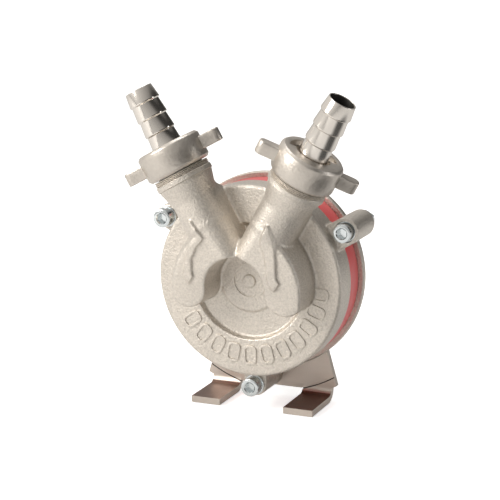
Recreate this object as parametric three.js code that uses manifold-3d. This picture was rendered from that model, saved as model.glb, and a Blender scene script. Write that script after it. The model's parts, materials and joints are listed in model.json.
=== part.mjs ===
// A shaft-driven self-priming transfer pump on two sheet-metal feet: a cast front cover with two
// hose ports, a red chamber ring, a backplate with its bearing housing, and the rotor inside.
//
// Millimetres. The pump is drawn about its own shaft: Y runs along the shaft from the cover's
// front rim (y = 0) to the drive end, X is to the right seen from the front, Z is up. At the end
// the whole pump is set down on its feet, with its box centred over the origin.

import * as THREE from 'three';
import { mergeVertices } from 'three/addons/utils/BufferGeometryUtils.js';
import Module from 'manifold-3d';

const wasm = await Module();
wasm.setup();

// ---- Driving dimensions -------------------------------------------------------------------

const GAP = 0.3;                        // between faces that touch on the real pump

// Stations along the shaft
const COVER_REAR = 15.5;
const RING_FRONT = COVER_REAR + GAP;
const RING_REAR = 29;
const PLATE_FRONT = RING_REAR + GAP;
const PLATE_REAR = 33.3;
const BRACKET_FRONT = PLATE_REAR + GAP;
const SHEET = 3.5;                      // bracket sheet thickness
const BRACKET_REAR = BRACKET_FRONT + SHEET;
const CHAMBER_FRONT = 8;                // inner face of the cover
const NOSE_DEPTH = 2.5;                 // pocket in that face for the front end of the shaft
const HOUSING_REAR = 70;
const SHAFT_FRONT = 6.2;
const SHAFT_REAR = 92;

// Radii of the drum
const COVER_R = 51.4;
const COVER_EDGE = { wide: 2, mid: 0.6 };   // rounding of the cover's front corner, in two flats
const PLATE_EDGE = 0.5;
const RING_R = 51;
const PLATE_R = 53.7;
const CHAMBER_R = 44;
const HOUSING_R = 20.8;
const HOUSING_EDGE = 1.5;
const NOSE_R = 12;
const SHAFT_R = 6;

// Sunk panel in the cover's face, and the raised disc at its middle
const PANEL = { top: 31.5, floor: 30, depth: 2.6, discR: 16.4, discY: 1.6 };

// The two flow bulges on the cover's face, as bands about the shaft
const BULGE = { inner: 16.6, outer: 37.5, face: -20, end: -4, back: 4, crest: 34.1, slope: 1.8 };
const CHANNEL = { wall: 3.8, outerWall: 5.8, roof: 4, topAngle: 60 };

// Hose ports: each axis leans outwards in the plane of the cover and a little to the front
const PORT = { x: 33.3, y: -11.3, z: 58.9, lean: 29, nod: 2.4 };
const NECK_R = 12.2;
const NECK_TOP = -13;                   // where the neck begins to widen into the collar
const COLLAR = { r: 16, low: -5.8, high: -3.6, shoulder: -6.6, top: -3.1, edge: 0.5 };
const SPIGOT_R = 13.2;                  // 3/4 inch pipe thread, outside
const SPIGOT_TOP = 7.2;
const PORT_BORE = { r: 8, low: -41 };
const LIP_T = -31.3;                    // where the neck ends against the bulge
const LIP_EDGE = 1.4;
const WEB = { top: -11, front: -10 };   // the lower wall that joins the two necks

// Wing nut and hose tail, along the port axis
const NUT = { r: 17.4, top: 14.9, thread: 13.5, lipZ: 11.8, hole: 9.8, slot: 13.1, chamfer: 1.4 };
const WING = { tip: 27.8, wide: 6.5, low: 4, high: 11 };
const WING_TURN = { left: 14, right: 26 };
const TAIL = { flangeR: 13, flangeLow: 9.3, flangeTop: 11.5, stemR: 8.5, tip: 46.6, tipR: 7.36,
  ridge: 8.35, root: 7.55, boreR: 6.6, firstBarb: 7.5, pitch: 8.5 };
const GASKET_R = 12.4;

// Clamp screws round the drum
const CLAMP_CIRCLE = 58.6;
const CLAMPS = [
  { name: 'upper_right', angle: 30, bossR: 7.3, bossFront: 3, extra: 0 },
  { name: 'upper_left', angle: 150, bossR: 6.4, bossFront: 9.5, extra: 0 },
  { name: 'lower', angle: 270, bossR: 6.4, bossFront: 9.5, extra: GAP + SHEET },
];
const SEAT_Y = 9.5;                     // face under each clamp washer
const BOSS_WEB_FRONT = 5;               // the webs between the bosses and the drum start behind this
const M6 = { r: 3, hole: 3.3, headR: 5, headH: 6, washerR: 5.6, washerT: 1.2, nutFlats: 10, nutH: 5,
  socketFlats: 5, socketDeep: 3.2 };
const M5 = { r: 2.5, hole: 2.8, headR: 4.25, headH: 5, washerR: 5, washerT: 1, socketFlats: 4,
  socketDeep: 2.6 };

// Feet
const FOOT = { bottom: -71.1, inner: 18.3, outer: 34.9, front: 4, bend: 4 };
const BRACKET = { low: -65.4, cornerX: 37.6, neckX: 27, neckZ: -25, screwR: 29, cornerUp: 3 };
const BRACKET_SCREWS = { right: 30, left: 150 };    // degrees round the shaft

// Rotor
const IMPELLER = { front: 9.6, rear: 26.2, hubR: 12, webR: 30, webFront: 16.4, webRear: 19.4,
  tipR: 42.3, blades: 14, thick: 2.6, bladeEdge: 0.4 };
const BEARING = { bore: 6.3, outer: 16, width: 10, innerR: 8.6, outerIn: 13.4, ballR: 2.2, balls: 7,
  track: 2, trackDeep: 0.9, cageT: 0.8, cageHalf: 2.6 };
const BEARING_Y = { front: 40.3, rear: 55.9 };
const BEARING_STOP = 40;                // shoulder in the housing in front of the bearings
const SPACER = { rIn: 14.4, y: [50.6, 55.6] };
const HOUSING_CLIP = { rIn: 14, reach: 1.2, y: [66.4, 67.6], clear: 0.2, open: 40 };
const ROTOR_CLIP = { sink: 0.5, groove: 0.8, outer: 8.4, y: [8.2, 9.2], clear: 0.1, open: 50 };
const SEAT = { rIn: 7.2, rOut: 12, y: [31.8, 36] };
const BELLOWS = { y: [26.5, 31.5], neckR: 9.5, rOut: 11.2, neckEnd: 28.5 };
const SHAFT_HOLE_R = 7;                 // through the backplate, clear of the shaft
const KEY = { wide: 4, low: 4, high: 7.6, clear: 0.3 };
const IMPELLER_KEY = [12, 24];
const DRIVE_KEY = [75, 89];
const SHAFT_EDGE = { front: 0.6, rear: 1 };

// O-rings between the ring and its neighbours
const SEAL = { r: 0.8, lineR: 47.5, grooveHalf: 1.3, deep: 1.9, inset: 0.95 };

// Facets on round parts
const ROUND = { large: 40, medium: 26, small: 14 };

// ---- Geometry helpers ---------------------------------------------------------------------

const rad = THREE.MathUtils.degToRad;
const polar = (r, deg) => new THREE.Vector2(r * Math.cos(rad(deg)), r * Math.sin(rad(deg)));

// Turns a geometry's faces outwards if its signed volume is negative.
function outward(geometry) {
  const flat = geometry.index ? geometry.toNonIndexed() : geometry;
  const p = flat.attributes.position;
  const [a, b, c] = [new THREE.Vector3(), new THREE.Vector3(), new THREE.Vector3()];
  let volume = 0;
  for (let i = 0; i < p.count; i += 3) {
    a.fromBufferAttribute(p, i);
    b.fromBufferAttribute(p, i + 1);
    c.fromBufferAttribute(p, i + 2);
    volume += a.dot(b.cross(c));
  }
  if (volume > 0) return geometry;
  for (let i = 0; i < p.count; i += 3) {
    a.fromBufferAttribute(p, i + 1);
    b.fromBufferAttribute(p, i + 2);
    p.setXYZ(i + 1, b.x, b.y, b.z);
    p.setXYZ(i + 2, a.x, a.y, a.z);
  }
  return flat;
}

// A closed three.js geometry as a solid that can be joined and cut.
function solid(geometry) {
  const bare = outward(geometry).clone();
  bare.deleteAttribute('normal');
  bare.deleteAttribute('uv');
  const merged = mergeVertices(bare, 1e-4);
  const mesh = new wasm.Mesh({
    numProp: 3,
    vertProperties: new Float32Array(merged.attributes.position.array),
    triVerts: new Uint32Array(merged.index.array),
  });
  return new wasm.Manifold(mesh);
}

// A solid back as a three.js geometry.
function geometryOf(manifold) {
  const mesh = manifold.getMesh();
  const geometry = new THREE.BufferGeometry();
  geometry.setAttribute('position', new THREE.BufferAttribute(mesh.vertProperties, 3));
  geometry.setIndex(new THREE.BufferAttribute(mesh.triVerts, 1));
  geometry.computeVertexNormals();
  return geometry;
}

const join = (first, ...rest) => rest.reduce((sum, s) => sum.add(s), first);
const cut = (first, ...rest) => rest.reduce((left, s) => left.subtract(s), first);

// Turned about the Y axis: points are [radius, y], closed along the axis where it isn't a ring.
function turned(points, facets) {
  const profile = points.map(([r, y]) => new THREE.Vector2(r, y));
  const [first, last] = [profile[0], profile[profile.length - 1]];
  if (first.x > 0 || last.x > 0) profile.push(first.clone());
  return solid(new THREE.LatheGeometry(profile, facets));
}

// A plain rod or ring along Y, at (x, z).
function rod(r, y0, y1, facets = ROUND.small, x = 0, z = 0) {
  const body = new THREE.CylinderGeometry(r, r, y1 - y0, facets);
  return solid(body.translate(x, (y0 + y1) / 2, z));
}

function ring(rIn, rOut, y0, y1, facets) {
  return turned([[rIn, y0], [rOut, y0], [rOut, y1], [rIn, y1]], facets);
}

function box(x0, x1, y0, y1, z0, z1) {
  const body = new THREE.BoxGeometry(x1 - x0, y1 - y0, z1 - z0);
  return solid(body.translate((x0 + x1) / 2, (y0 + y1) / 2, (z0 + z1) / 2));
}

// An outline in the X-Z plane, given depth from y0 back to y1.
function slab(shape, y0, y1, curveSegments = 10) {
  const body = new THREE.ExtrudeGeometry(shape, { depth: y1 - y0, bevelEnabled: false, curveSegments });
  return solid(body.rotateX(Math.PI / 2).translate(0, y1, 0));
}

// A hexagonal prism along Y with the given width across flats, at (x, z).
function hexagon(flats, y0, y1, x, z) {
  return rod(flats / Math.sqrt(3), y0, y1, 6, x, z);
}

// ---- Port frames --------------------------------------------------------------------------

// Local Y is the port axis, local X points outwards and down, local Z to the front.
function portFrame(side) {
  const across = Math.sin(rad(PORT.lean)) * Math.cos(rad(PORT.nod));
  const up = Math.cos(rad(PORT.lean)) * Math.cos(rad(PORT.nod));
  const axis = new THREE.Vector3(side * across, -Math.sin(rad(PORT.nod)), up);
  const right = new THREE.Vector3(0, 1, 0).cross(axis).normalize();
  const front = right.clone().cross(axis);
  const frame = new THREE.Matrix4().makeBasis(right, axis, front);
  return frame.setPosition(side * PORT.x, PORT.y, PORT.z);
}

const SIDES = { left: -1, right: 1 };

// ---- Front cover --------------------------------------------------------------------------

// A point beside the port axis in the X-Z plane: t along the axis, d outwards from it.
function besidePort(t, d) {
  const s = Math.sin(rad(PORT.lean));
  const c = Math.cos(rad(PORT.lean));
  return new THREE.Vector2(PORT.x + s * t + c * d, PORT.z + c * t - s * d);
}

// The right-hand bulge's outline; upTo says how far up the neck it goes.
function bulgeOutline(upTo) {
  const mid = (BULGE.inner + BULGE.outer) / 2;
  const half = (BULGE.outer - BULGE.inner) / 2;
  const endMid = polar(mid, BULGE.end);
  const shoulder = besidePort(LIP_T, NECK_R);
  const shape = new THREE.Shape();
  shape.moveTo(0, BULGE.inner);
  shape.absarc(0, 0, BULGE.inner, Math.PI / 2, rad(BULGE.end), true);
  shape.absarc(endMid.x, endMid.y, half, rad(BULGE.end + 180), rad(BULGE.end + 360), false);
  shape.absarc(0, 0, BULGE.outer, rad(BULGE.end), Math.atan2(shoulder.y, shoulder.x), false);
  const outer = besidePort(upTo, NECK_R);
  const inner = besidePort(upTo, -NECK_R);
  const crotch = besidePort(-PORT.x / Math.sin(rad(PORT.lean))
    + NECK_R / Math.tan(rad(PORT.lean)), -NECK_R);
  shape.lineTo(outer.x, outer.y);
  shape.lineTo(inner.x, inner.y);
  shape.lineTo(Math.max(crotch.x, 0), crotch.y);
  shape.closePath();
  return shape;
}

// The water channel inside the bulge, open to the pump chamber.
function channelOutline() {
  const rIn = BULGE.inner + CHANNEL.wall;
  const rOut = BULGE.outer - CHANNEL.outerWall;
  const mid = (rIn + rOut) / 2;
  const half = (rOut - rIn) / 2;
  const [low, high] = [BULGE.end, CHANNEL.topAngle];
  const lowMid = polar(mid, low);
  const highMid = polar(mid, high);
  const shape = new THREE.Shape();
  shape.absarc(0, 0, rOut, rad(low), rad(high), false);
  shape.absarc(highMid.x, highMid.y, half, rad(high), rad(high + 180), false);
  shape.absarc(0, 0, rIn, rad(high), rad(low), true);
  shape.absarc(lowMid.x, lowMid.y, half, rad(low + 180), rad(low + 360), false);
  shape.closePath();
  return shape;
}

const mirrored = (s) => s.mirror([1, 0, 0]);

// Draft and rounding on the outer side of both bulges.
function bulgeLimit() {
  const { outer, face, back, crest, slope } = BULGE;
  return turned([[0, face], [crest, face], [(crest + outer) / 2, face + slope], [outer, back],
    [0, back]], ROUND.large);
}

function neck() {
  const { r, low, high, shoulder, top, edge } = COLLAR;
  return turned([[0, LIP_T - LIP_EDGE], [NECK_R - LIP_EDGE, LIP_T - LIP_EDGE], [NECK_R, LIP_T],
    [NECK_R, NECK_TOP], [r - edge, shoulder], [r, low], [r, high], [r - edge, top], [SPIGOT_R, top],
    [SPIGOT_R, SPIGOT_TOP], [0, SPIGOT_TOP]], ROUND.medium);
}

function portBore() {
  return rod(PORT_BORE.r, PORT_BORE.low, SPIGOT_TOP + 2);
}

// A boss beside the drum, with a web that runs from its axis into the drum's wall.
function clampBoss(clamp) {
  const { x, y: z } = polar(CLAMP_CIRCLE, clamp.angle);
  const boss = rod(clamp.bossR, clamp.bossFront, RING_REAR, ROUND.small, x, z);
  const webFront = Math.max(clamp.bossFront, BOSS_WEB_FRONT);
  const rootR = (CHAMBER_R + COVER_R) / 2;
  const web = new THREE.BoxGeometry(CLAMP_CIRCLE - rootR, COVER_REAR - webFront, 2 * clamp.bossR);
  web.translate((CLAMP_CIRCLE + rootR) / 2, (COVER_REAR + webFront) / 2, 0);
  web.rotateY(-rad(clamp.angle));
  return boss.add(solid(web));
}

function coverSolid() {
  const { wide, mid } = COVER_EDGE;
  const noseFront = CHAMBER_FRONT - NOSE_DEPTH;
  const drum = turned([[0, PANEL.discY], [PANEL.discR, PANEL.discY], [PANEL.discR, PANEL.depth],
    [PANEL.floor, PANEL.depth], [PANEL.top, 0], [COVER_R - wide, 0], [COVER_R - mid, mid],
    [COVER_R, wide], [COVER_R, COVER_REAR], [CHAMBER_R, COVER_REAR], [CHAMBER_R, CHAMBER_FRONT],
    [NOSE_R, CHAMBER_FRONT], [NOSE_R, noseFront], [0, noseFront]], ROUND.large);
  const band = slab(bulgeOutline(LIP_T), BULGE.face, BULGE.back).intersect(bulgeLimit());
  const web = slab(bulgeOutline(WEB.top), WEB.front, BULGE.back);
  const half = join(band, web);
  const channel = slab(channelOutline(), BULGE.face + CHANNEL.roof, CHAMBER_FRONT + 1, 12);

  let cover = join(drum, half, mirrored(half));
  for (const side of Object.values(SIDES)) {
    cover = cover.add(neck().transform(portFrame(side).elements));
  }
  cover = cover.subtract(rod(BULGE.inner - 0.1, BULGE.face - 9, PANEL.discY, ROUND.large));
  cover = cut(cover, channel, mirrored(channel));
  for (const side of Object.values(SIDES)) {
    cover = cover.subtract(portBore().transform(portFrame(side).elements));
  }
  for (const clamp of CLAMPS) {
    const { x, y: z } = polar(CLAMP_CIRCLE, clamp.angle);
    cover = cover.add(clampBoss(clamp));
    cover = cover.subtract(rod(M6.hole, -5, RING_REAR + 1, ROUND.small, x, z));
    cover = cover.subtract(rod(M6.washerR + GAP, -5, SEAT_Y, ROUND.small, x, z));
  }
  return cover.subtract(rod(CHAMBER_R, CHAMBER_FRONT, RING_REAR + 1, ROUND.large))
    .subtract(ring(CHAMBER_R - 1, RING_R + GAP, COVER_REAR, RING_REAR + 1, ROUND.large));
}

// ---- Chamber ring, seals and backplate ----------------------------------------------------

function chamberRing() {
  const { lineR, grooveHalf, deep } = SEAL;
  const groove = (y0, y1) => ring(lineR - grooveHalf, lineR + grooveHalf, y0, y1, ROUND.large);
  const body = ring(CHAMBER_R, RING_R, RING_FRONT, RING_REAR, ROUND.large);
  return cut(body, groove(RING_FRONT - 1, RING_FRONT + deep), groove(RING_REAR - deep, RING_REAR + 1));
}

function oRing(centreY) {
  const profile = [];
  for (let i = 0; i < 6; i += 1) {
    const { x, y } = polar(SEAL.r, i * 60);
    profile.push([SEAL.lineR + x, centreY + y]);
  }
  return turned(profile, ROUND.large);
}

function backplateSolid() {
  const rimR = PLATE_R - PLATE_EDGE;
  let plate = turned([[0, PLATE_FRONT], [rimR, PLATE_FRONT], [PLATE_R, PLATE_FRONT + PLATE_EDGE],
    [PLATE_R, PLATE_REAR - PLATE_EDGE], [rimR, PLATE_REAR], [HOUSING_R, PLATE_REAR],
    [HOUSING_R, HOUSING_REAR - HOUSING_EDGE], [HOUSING_R - HOUSING_EDGE, HOUSING_REAR],
    [0, HOUSING_REAR]], ROUND.large);
  for (const clamp of CLAMPS) {
    const { x, y: z } = polar(CLAMP_CIRCLE, clamp.angle);
    plate = plate.add(rod(clamp.bossR, PLATE_FRONT, PLATE_REAR, ROUND.small, x, z));
    plate = plate.subtract(rod(M6.hole, PLATE_FRONT - 1, PLATE_REAR + 1, ROUND.small, x, z));
  }
  for (const angle of Object.values(BRACKET_SCREWS)) {
    const { x, y: z } = polar(BRACKET.screwR, angle);
    plate = plate.subtract(rod(M5.hole, PLATE_FRONT + 1, PLATE_REAR + 1, ROUND.small, x, z));
  }
  const seatR = BEARING.outer + GAP;
  const { reach, y: clipY, clear } = HOUSING_CLIP;
  const bores = [
    rod(SEAT.rOut + GAP, PLATE_FRONT - 1, SEAT.y[1] + GAP, ROUND.medium),
    rod(SHAFT_HOLE_R, PLATE_FRONT - 1, HOUSING_REAR),
    rod(seatR, BEARING_STOP, HOUSING_REAR + 1, ROUND.medium),
    rod(seatR + reach + GAP, clipY[0] - clear, clipY[1] + clear, ROUND.medium),
  ];
  return cut(plate, ...bores);
}

// ---- Rotor --------------------------------------------------------------------------------

function keySolid(y0, y1) {
  return box(-KEY.wide / 2, KEY.wide / 2, y0, y1, KEY.low, KEY.high);
}

function keyway(y0, y1, top) {
  const half = KEY.wide / 2 + KEY.clear;
  return box(-half, half, y0 - KEY.clear, y1 + KEY.clear, KEY.low - KEY.clear, top);
}

function shaftSolid() {
  const { y: clipY, clear, groove } = ROTOR_CLIP;
  const [groove0, groove1] = [clipY[0] - clear, clipY[1] + clear];
  const grooveR = SHAFT_R - groove;
  const { front, rear } = SHAFT_EDGE;
  const shaft = turned([[0, SHAFT_FRONT], [SHAFT_R - front, SHAFT_FRONT],
    [SHAFT_R, SHAFT_FRONT + front], [SHAFT_R, groove0], [grooveR, groove0], [grooveR, groove1],
    [SHAFT_R, groove1], [SHAFT_R, SHAFT_REAR - rear], [SHAFT_R - rear, SHAFT_REAR],
    [0, SHAFT_REAR]], ROUND.small);
  return cut(shaft, keyway(...IMPELLER_KEY, KEY.high), keyway(...DRIVE_KEY, KEY.high));
}

function impellerSolid() {
  const { front, rear, hubR, webR, webFront, webRear, tipR, blades, thick, bladeEdge } = IMPELLER;
  const rootR = hubR - 2;
  let wheel = join(rod(hubR, front, rear, ROUND.medium), rod(webR, webFront, webRear, ROUND.medium));
  for (let i = 0; i < blades; i += 1) {
    const blade = new THREE.BoxGeometry(tipR - rootR, rear - front - 2 * bladeEdge, thick);
    blade.translate((tipR + rootR) / 2, (rear + front) / 2, 0).rotateY(i * 2 * Math.PI / blades);
    wheel = wheel.add(solid(blade));
  }
  return cut(wheel, rod(SHAFT_R + GAP, front - 1, rear + 1), keyway(...IMPELLER_KEY, KEY.high + KEY.clear),
    keyway(IMPELLER_KEY[1], rear + 1, KEY.high + KEY.clear));
}

// Split retaining ring: open over a small angle.
function retainingRing(rIn, rOut, y0, y1, openDeg) {
  const shape = new THREE.Shape();
  shape.absarc(0, 0, rOut, rad(90 + openDeg / 2), rad(450 - openDeg / 2), false);
  shape.absarc(0, 0, rIn, rad(450 - openDeg / 2), rad(90 + openDeg / 2), true);
  shape.closePath();
  return slab(shape, y0, y1, 14);
}

function innerRace(y) {
  const { bore, innerR, width, track, trackDeep } = BEARING;
  const mid = y + width / 2;
  return turned([[bore, y], [innerR, y], [innerR, mid - track], [innerR - trackDeep, mid],
    [innerR, mid + track], [innerR, y + width], [bore, y + width]], ROUND.small);
}

function outerRace(y) {
  const { outer, outerIn, width, track, trackDeep } = BEARING;
  const mid = y + width / 2;
  return turned([[outerIn, y], [outer, y], [outer, y + width], [outerIn, y + width],
    [outerIn, mid + track], [outerIn + trackDeep, mid], [outerIn, mid - track]], ROUND.small);
}

function ballCage(y) {
  const { innerR, outerIn, width, ballR, balls, cageT, cageHalf } = BEARING;
  const [mid, pitchR] = [y + width / 2, (innerR + outerIn) / 2];
  let cage = ring(pitchR - cageT, pitchR + cageT, mid - cageHalf, mid + cageHalf, ROUND.small);
  for (let i = 0; i < balls; i += 1) {
    const { x, y: z } = polar(pitchR, i * 360 / balls);
    const ball = new THREE.SphereGeometry(ballR, 8, 6).rotateX(Math.PI / 2).translate(x, mid, z);
    cage = cage.add(solid(ball));
  }
  return cage;
}

// ---- Feet ---------------------------------------------------------------------------------

function bracketSolid() {
  const { low, cornerX, cornerUp, neckX, neckZ } = BRACKET;
  const topR = Math.hypot(neckX, neckZ);
  const from = Math.atan2(neckZ, neckX);
  const outerBend = FOOT.bend + SHEET;
  const bendTop = FOOT.bottom + outerBend;
  const sheet = new THREE.Shape();
  sheet.moveTo(-FOOT.inner, low);
  sheet.lineTo(FOOT.inner, low);
  sheet.lineTo(FOOT.inner, bendTop);
  sheet.lineTo(FOOT.outer, bendTop);
  sheet.lineTo(cornerX, low + cornerUp);
  sheet.lineTo(neckX, neckZ);
  sheet.absarc(0, 0, topR, from, Math.PI - from, false);
  sheet.lineTo(-cornerX, low + cornerUp);
  sheet.lineTo(-FOOT.outer, bendTop);
  sheet.lineTo(-FOOT.inner, bendTop);
  sheet.closePath();
  let bracket = slab(sheet, BRACKET_FRONT, BRACKET_REAR);

  // Foot section in the Y-Z plane, bent forward off the sheet's lower edge
  const section = new THREE.Shape();
  section.moveTo(FOOT.front, FOOT.bottom);
  section.lineTo(BRACKET_REAR - outerBend, FOOT.bottom);
  section.absarc(BRACKET_REAR - outerBend, bendTop, outerBend, -Math.PI / 2, 0, false);
  section.lineTo(BRACKET_REAR, bendTop + 1);
  section.lineTo(BRACKET_FRONT, bendTop + 1);
  section.absarc(BRACKET_REAR - outerBend, bendTop, FOOT.bend, 0, -Math.PI / 2, true);
  section.lineTo(FOOT.front, FOOT.bottom + SHEET);
  section.closePath();
  for (const side of Object.values(SIDES)) {
    const foot = new THREE.ExtrudeGeometry(section,
      { depth: FOOT.outer - FOOT.inner, bevelEnabled: false, curveSegments: 6 });
    const turn = new THREE.Matrix4().makeBasis(new THREE.Vector3(0, 1, 0), new THREE.Vector3(0, 0, 1),
      new THREE.Vector3(1, 0, 0));
    foot.applyMatrix4(turn).translate(side > 0 ? FOOT.inner : -FOOT.outer, 0, 0);
    bracket = bracket.add(solid(foot));
  }
  const holes = [rod(HOUSING_R + 0.6, BRACKET_FRONT - 1, BRACKET_REAR + 1, ROUND.medium),
    rod(M6.hole, BRACKET_FRONT - 1, BRACKET_REAR + 1, ROUND.small, 0, -CLAMP_CIRCLE)];
  for (const angle of Object.values(BRACKET_SCREWS)) {
    const { x, y: z } = polar(BRACKET.screwR, angle);
    holes.push(rod(M5.hole, BRACKET_FRONT - 1, BRACKET_REAR + 1, ROUND.small, x, z));
  }
  return cut(bracket, ...holes);
}

// ---- Fasteners ----------------------------------------------------------------------------

// A cap screw whose head starts at headY; dir is +1 where the shank runs to the back.
function capScrew(m, headY, endY, x, z) {
  const dir = Math.sign(endY - headY);
  const under = headY + dir * m.headH;
  const along = (a, b) => [Math.min(a, b), Math.max(a, b)];
  const head = rod(m.headR, ...along(headY, under), ROUND.small, x, z);
  const shank = rod(m.r, ...along(under - dir * 0.5, endY), 12, x, z);
  const socket = hexagon(m.socketFlats, ...along(headY - dir, headY + dir * m.socketDeep), x, z);
  return cut(join(head, shank), socket);
}

function flatWasher(m, y0, x, z) {
  return cut(rod(m.washerR, y0, y0 + m.washerT, ROUND.small, x, z),
    rod(m.hole, y0 - 1, y0 + m.washerT + 1, 12, x, z));
}

function hexNut(y0, x, z) {
  return cut(hexagon(M6.nutFlats, y0, y0 + M6.nutH, x, z),
    rod(M6.hole, y0 - 1, y0 + M6.nutH + 1, 12, x, z));
}

// ---- Wing nuts, hose tails and their gaskets ----------------------------------------------

// Two opposite wings; half of the top lip is cut away so the nut slips over the tail's flange.
function wingNutSolid(turnDeg) {
  const { r, top, thread, lipZ, hole, slot, chamfer } = NUT;
  let nut = turned([[thread, 0], [r - chamfer, 0], [r, chamfer], [r, top - chamfer],
    [r - chamfer, top], [hole, top], [hole, lipZ], [thread, lipZ]], ROUND.medium);
  const arm = WING.tip - WING.wide / 2;
  const wing = new THREE.Shape();
  wing.moveTo(-arm, -WING.wide / 2);
  wing.lineTo(arm, -WING.wide / 2);
  wing.absarc(arm, 0, WING.wide / 2, -Math.PI / 2, Math.PI / 2, false);
  wing.lineTo(-arm, WING.wide / 2);
  wing.absarc(-arm, 0, WING.wide / 2, Math.PI / 2, 1.5 * Math.PI, false);
  wing.closePath();
  const wings = slab(wing, WING.low, WING.high, 8).subtract(rod(thread + 1, 0, top, ROUND.medium));
  const slotHalf = rod(slot, lipZ - 1, top + 1, ROUND.medium)
    .intersect(box(-r - 1, r + 1, lipZ - 2, top + 2, -r - 1, 0));
  return cut(join(nut, wings), slotHalf).rotate([0, turnDeg, 0]);
}

function hoseTailSolid() {
  const { flangeR, flangeLow, flangeTop, stemR, tip, tipR, ridge, root, boreR, firstBarb,
    pitch } = TAIL;
  const barbs = [[tipR, tip]];
  for (let i = 0; i < 3; i += 1) {
    const foot = tip - firstBarb - i * pitch;
    barbs.push([ridge, foot + 0.4], [ridge, foot], [root, foot - 0.6]);
  }
  const profile = [[boreR, flangeLow], [flangeR, flangeLow], [flangeR, flangeTop],
    [stemR, flangeTop], ...barbs.reverse(), [boreR, tip]];
  return turned(profile, ROUND.medium - 4);
}

// ---- Assembly -----------------------------------------------------------------------------

const FINISH = {
  casting: { color: 0xcdc6bc, metalness: 0.85, roughness: 0.45 },
  zinc: { color: 0xd3d6d8, metalness: 1, roughness: 0.3 },
  polished: { color: 0xd9d3cb, metalness: 1, roughness: 0.12 },
  sheet: { color: 0xbfb2a6, metalness: 1, roughness: 0.22 },
  steel: { color: 0xc4c6c8, metalness: 1, roughness: 0.3 },
  bronze: { color: 0xb68a4a, metalness: 1, roughness: 0.4 },
  red: { color: 0xd25558, metalness: 0, roughness: 0.4 },
  rubber: { color: 0x23211f, metalness: 0, roughness: 0.75 },
  ceramic: { color: 0xe8e4dc, metalness: 0, roughness: 0.25 },
};

const pump = new THREE.Group();

function add(name, manifold, finish, parent = pump) {
  const mesh = new THREE.Mesh(geometryOf(manifold), new THREE.MeshStandardMaterial(FINISH[finish]));
  mesh.name = name;
  parent.add(mesh);
}

add('front_cover', coverSolid(), 'casting');
add('chamber_ring', chamberRing(), 'red');
add('cover_o_ring', oRing(RING_FRONT + SEAL.inset), 'rubber');
add('backplate_o_ring', oRing(RING_REAR - SEAL.inset), 'rubber');
add('backplate', backplateSolid(), 'casting');
add('mounting_bracket', bracketSolid(), 'sheet');

add('drive_shaft', shaftSolid(), 'steel');
add('impeller', impellerSolid(), 'bronze');
add('impeller_key', keySolid(...IMPELLER_KEY), 'steel');
add('drive_key', keySolid(...DRIVE_KEY), 'steel');
add('rotor_circlip', retainingRing(SHAFT_R - ROTOR_CLIP.sink, ROTOR_CLIP.outer, ...ROTOR_CLIP.y,
  ROTOR_CLIP.open), 'steel');
add('seal_seat', ring(SEAT.rIn, SEAT.rOut, ...SEAT.y, ROUND.medium), 'ceramic');
add('seal_bellows', turned([[SHAFT_R + GAP, BELLOWS.y[0]], [BELLOWS.neckR, BELLOWS.y[0]],
  [BELLOWS.rOut, BELLOWS.neckEnd], [BELLOWS.rOut, BELLOWS.y[1]],
  [SHAFT_R + GAP, BELLOWS.y[1]]], ROUND.medium), 'rubber');

for (const [place, y] of Object.entries(BEARING_Y)) {
  add(`${place}_bearing_outer_race`, outerRace(y), 'steel');
  add(`${place}_bearing_inner_race`, innerRace(y), 'steel');
  add(`${place}_bearing_balls`, ballCage(y), 'steel');
}
add('bearing_spacer', ring(SPACER.rIn, BEARING.outer, ...SPACER.y, ROUND.small), 'steel');
add('housing_circlip', retainingRing(HOUSING_CLIP.rIn, BEARING.outer + GAP + HOUSING_CLIP.reach,
  ...HOUSING_CLIP.y, HOUSING_CLIP.open), 'steel');

for (const clamp of CLAMPS) {
  const { x, y: z } = polar(CLAMP_CIRCLE, clamp.angle);
  const behind = PLATE_REAR + clamp.extra + GAP;
  const headY = SEAT_Y - GAP - M6.washerT - GAP - M6.headH;
  const nutY = behind + M6.washerT + GAP;
  add(`${clamp.name}_clamp_screw`, capScrew(M6, headY, nutY + M6.nutH + 2, x, z), 'zinc');
  add(`${clamp.name}_clamp_washer`, flatWasher(M6, SEAT_Y - GAP - M6.washerT, x, z), 'zinc');
  add(`${clamp.name}_rear_washer`, flatWasher(M6, behind, x, z), 'zinc');
  add(`${clamp.name}_clamp_nut`, hexNut(nutY, x, z), 'zinc');
}

for (const [side, angle] of Object.entries(BRACKET_SCREWS)) {
  const { x, y: z } = polar(BRACKET.screwR, angle);
  const washerY = BRACKET_REAR + GAP;
  const headY = washerY + M5.washerT + GAP + M5.headH;
  add(`${side}_bracket_screw`, capScrew(M5, headY, PLATE_FRONT + 1.5, x, z), 'zinc');
  add(`${side}_bracket_washer`, flatWasher(M5, washerY, x, z), 'zinc');
}

for (const [name, side] of Object.entries(SIDES)) {
  const port = new THREE.Group();
  portFrame(side).decompose(port.position, port.quaternion, port.scale);
  add(`${name}_hose_tail`, hoseTailSolid(), 'polished', port);
  add(`${name}_wing_nut`, wingNutSolid(WING_TURN[name]), 'casting', port);
  add(`${name}_tail_gasket`, ring(PORT_BORE.r, GASKET_R, SPIGOT_TOP + GAP, TAIL.flangeLow - GAP,
    ROUND.medium), 'rubber', port);
  pump.add(port);
}

// Stand the pump on its feet with its box centred over the origin.
const part = new THREE.Group();
part.add(pump);
part.updateMatrixWorld(true);
const extent = new THREE.Box3().setFromObject(part, true);
const centre = extent.getCenter(new THREE.Vector3());
pump.position.set(-centre.x, -centre.y, -extent.min.z);

export default part;
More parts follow.
